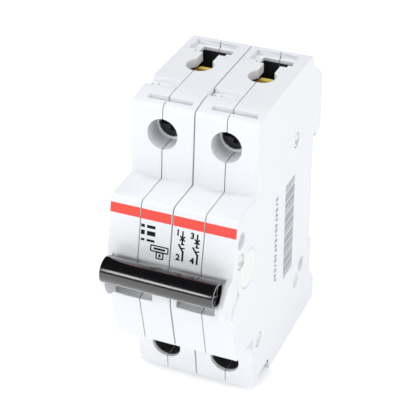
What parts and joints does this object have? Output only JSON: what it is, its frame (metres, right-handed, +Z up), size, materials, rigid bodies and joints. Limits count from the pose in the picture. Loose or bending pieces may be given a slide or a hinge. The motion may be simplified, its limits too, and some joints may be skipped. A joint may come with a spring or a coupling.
{
  "type": "miniature circuit breaker",
  "caption": "Modular circuit breaker for a 35 mm rail: coupled poles in split cases, a common toggle handle, clamp terminals above and below, and sprung rail clips.",
  "frame": {"origin": "middle of the base, under the middle of the breaker's box, on the plane it stands on", "axes": "+Z up the breaker as it hangs on its rail, +X across the poles to the right as seen from the front, -Y towards the front with the handle"},
  "size_m": [0.035, 0.0762, 0.0863],
  "materials": {
    "case_plastic": "fine satin, light grey",
    "black_plastic": "polished black",
    "cover_plastic": "satin, warm light grey",
    "dark_plastic": "moulded dark grey",
    "zinc_steel": "zinc plated",
    "spring_steel": "drawn wire",
    "brass": "bright",
    "copper": "bright copper"
  },
  "bodies": {
    "case": {"left_pole_left_shell": "case_plastic", "left_pole_right_shell": "case_plastic", "left_upper_plate": "copper", "left_lower_plate": "copper", "left_magnet_coil": "copper", "left_magnet_yoke": "zinc_steel", "left_plunger_spring": "spring_steel", "left_fixed_contact": "copper", "left_arm_pivot_pin": "zinc_steel", "left_contact_spring": "spring_steel", "left_copper_braid": "copper", "left_arc_chute": "zinc_steel", "left_bimetal_strip": "brass", "left_toggle_spring": "spring_steel", "left_clip_spring": "spring_steel", "right_pole_left_shell": "case_plastic", "right_pole_right_shell": "case_plastic", "right_upper_plate": "copper", "right_lower_plate": "copper", "right_magnet_coil": "copper", "right_magnet_yoke": "zinc_steel", "right_plunger_spring": "spring_steel", "right_fixed_contact": "copper", "right_arm_pivot_pin": "zinc_steel", "right_contact_spring": "spring_steel", "right_copper_braid": "copper", "right_arc_chute": "zinc_steel", "right_bimetal_strip": "brass", "right_toggle_spring": "spring_steel", "right_clip_spring": "spring_steel", "through_rivet_1": "zinc_steel", "through_rivet_2": "zinc_steel", "through_rivet_3": "zinc_steel", "through_rivet_4": "zinc_steel", "left_pivot_cover": "cover_plastic", "right_pivot_cover": "cover_plastic"},
    "handle": {"handle_bar": "black_plastic", "left_toggle": "black_plastic", "right_toggle": "black_plastic"},
    "left_link": {"left_toggle_link": "spring_steel"},
    "left_arm": {"left_moving_contact_arm": "copper"},
    "right_link": {"right_toggle_link": "spring_steel"},
    "right_arm": {"right_moving_contact_arm": "copper"},
    "trip_bar": {"trip_pin": "zinc_steel", "left_trip_lever": "dark_plastic", "right_trip_lever": "dark_plastic"},
    "left_plunger": {"left_magnet_plunger": "zinc_steel"},
    "right_plunger": {"right_magnet_plunger": "zinc_steel"},
    "left_upper_screw": {"left_upper_clamp_screw": "zinc_steel"},
    "left_upper_cage": {"left_upper_clamp_cage": "brass"},
    "left_lower_screw": {"left_lower_clamp_screw": "zinc_steel"},
    "left_lower_cage": {"left_lower_clamp_cage": "brass"},
    "right_upper_screw": {"right_upper_clamp_screw": "zinc_steel"},
    "right_upper_cage": {"right_upper_clamp_cage": "brass"},
    "right_lower_screw": {"right_lower_clamp_screw": "zinc_steel"},
    "right_lower_cage": {"right_lower_clamp_cage": "brass"},
    "left_clip": {"left_rail_clip": "dark_plastic"},
    "right_clip": {"right_rail_clip": "dark_plastic"}
  },
  "joints": [
    {"name": "handle_swing", "type": "hinge", "parent": "case", "child": "handle", "pos_m": [0, -0.0182, 0.0466], "axis": [1, 0, 0], "range_deg": [0, 32]},
    {"name": "left_link_turn", "type": "hinge", "parent": "handle", "child": "left_link", "pos_m": [-0.00882, -0.0156, 0.0511], "axis": [1, 0, 0], "range_deg": [-38, 0]},
    {"name": "left_contact_open", "type": "hinge", "parent": "case", "child": "left_arm", "pos_m": [-0.00882, -0.0064, 0.0306], "axis": [1, 0, 0], "range_deg": [0, 20.2]},
    {"name": "right_link_turn", "type": "hinge", "parent": "handle", "child": "right_link", "pos_m": [0.00882, -0.0156, 0.0511], "axis": [1, 0, 0], "range_deg": [-38, 0]},
    {"name": "right_contact_open", "type": "hinge", "parent": "case", "child": "right_arm", "pos_m": [0.00882, -0.0064, 0.0306], "axis": [1, 0, 0], "range_deg": [0, 20.2]},
    {"name": "trip_turn", "type": "hinge", "parent": "case", "child": "trip_bar", "pos_m": [0, -0.0099, 0.0601], "axis": [-1, 0, 0], "range_deg": [0, 8], "stiffness_Nm_per_rad": 0.02, "springref_deg": -11.46},
    {"name": "left_plunger_stroke", "type": "slide", "parent": "case", "child": "left_plunger", "axis": [0, -1, 0], "range_m": [0, 0.0025], "stiffness_N_per_m": 150, "springref_m": -0.002, "deforming": ["left_plunger_spring"]},
    {"name": "right_plunger_stroke", "type": "slide", "parent": "case", "child": "right_plunger", "axis": [0, -1, 0], "range_m": [0, 0.0025], "stiffness_N_per_m": 150, "springref_m": -0.002, "deforming": ["right_plunger_spring"]},
    {"name": "left_upper_cage_lift", "type": "slide", "parent": "case", "child": "left_upper_cage", "axis": [0, -1, 0], "range_m": [0, 0.004]},
    {"name": "left_upper_screw_turn", "type": "hinge", "parent": "case", "child": "left_upper_screw", "pos_m": [-0.00882, -0.0045, 0.0774], "axis": [0, 1, 0], "range_deg": [0, 1801]},
    {"name": "left_lower_cage_lift", "type": "slide", "parent": "case", "child": "left_lower_cage", "axis": [0, -1, 0], "range_m": [0, 0.004]},
    {"name": "left_lower_screw_turn", "type": "hinge", "parent": "case", "child": "left_lower_screw", "pos_m": [-0.00882, -0.0045, 0.0096], "axis": [0, 1, 0], "range_deg": [0, 1801]},
    {"name": "right_upper_cage_lift", "type": "slide", "parent": "case", "child": "right_upper_cage", "axis": [0, -1, 0], "range_m": [0, 0.004]},
    {"name": "right_upper_screw_turn", "type": "hinge", "parent": "case", "child": "right_upper_screw", "pos_m": [0.00882, -0.0045, 0.0774], "axis": [0, 1, 0], "range_deg": [0, 1801]},
    {"name": "right_lower_cage_lift", "type": "slide", "parent": "case", "child": "right_lower_cage", "axis": [0, -1, 0], "range_m": [0, 0.004]},
    {"name": "right_lower_screw_turn", "type": "hinge", "parent": "case", "child": "right_lower_screw", "pos_m": [0.00882, -0.0045, 0.0096], "axis": [0, 1, 0], "range_deg": [0, 1801]},
    {"name": "left_clip_slide", "type": "slide", "parent": "case", "child": "left_clip", "axis": [0, 0, -1], "range_m": [0, 0.0045], "stiffness_N_per_m": 1500, "springref_m": -0.002, "deforming": ["left_clip_spring"]},
    {"name": "right_clip_slide", "type": "slide", "parent": "case", "child": "right_clip", "axis": [0, 0, -1], "range_m": [0, 0.0045], "stiffness_N_per_m": 1500, "springref_m": -0.002, "deforming": ["right_clip_spring"]}
  ],
  "couplings": [
    {"joint": "left_link_turn", "follows": "handle_swing", "ratio": -1.172},
    {"joint": "left_contact_open", "follows": "handle_swing", "ratio": 0.625},
    {"joint": "right_link_turn", "follows": "handle_swing", "ratio": -1.172},
    {"joint": "right_contact_open", "follows": "handle_swing", "ratio": 0.625},
    {"joint": "left_upper_screw_turn", "follows": "left_upper_cage_lift", "rad_per_m": 7854},
    {"joint": "left_lower_screw_turn", "follows": "left_lower_cage_lift", "rad_per_m": 7854},
    {"joint": "right_upper_screw_turn", "follows": "right_upper_cage_lift", "rad_per_m": 7854},
    {"joint": "right_lower_screw_turn", "follows": "right_lower_cage_lift", "rad_per_m": 7854}
  ]
}
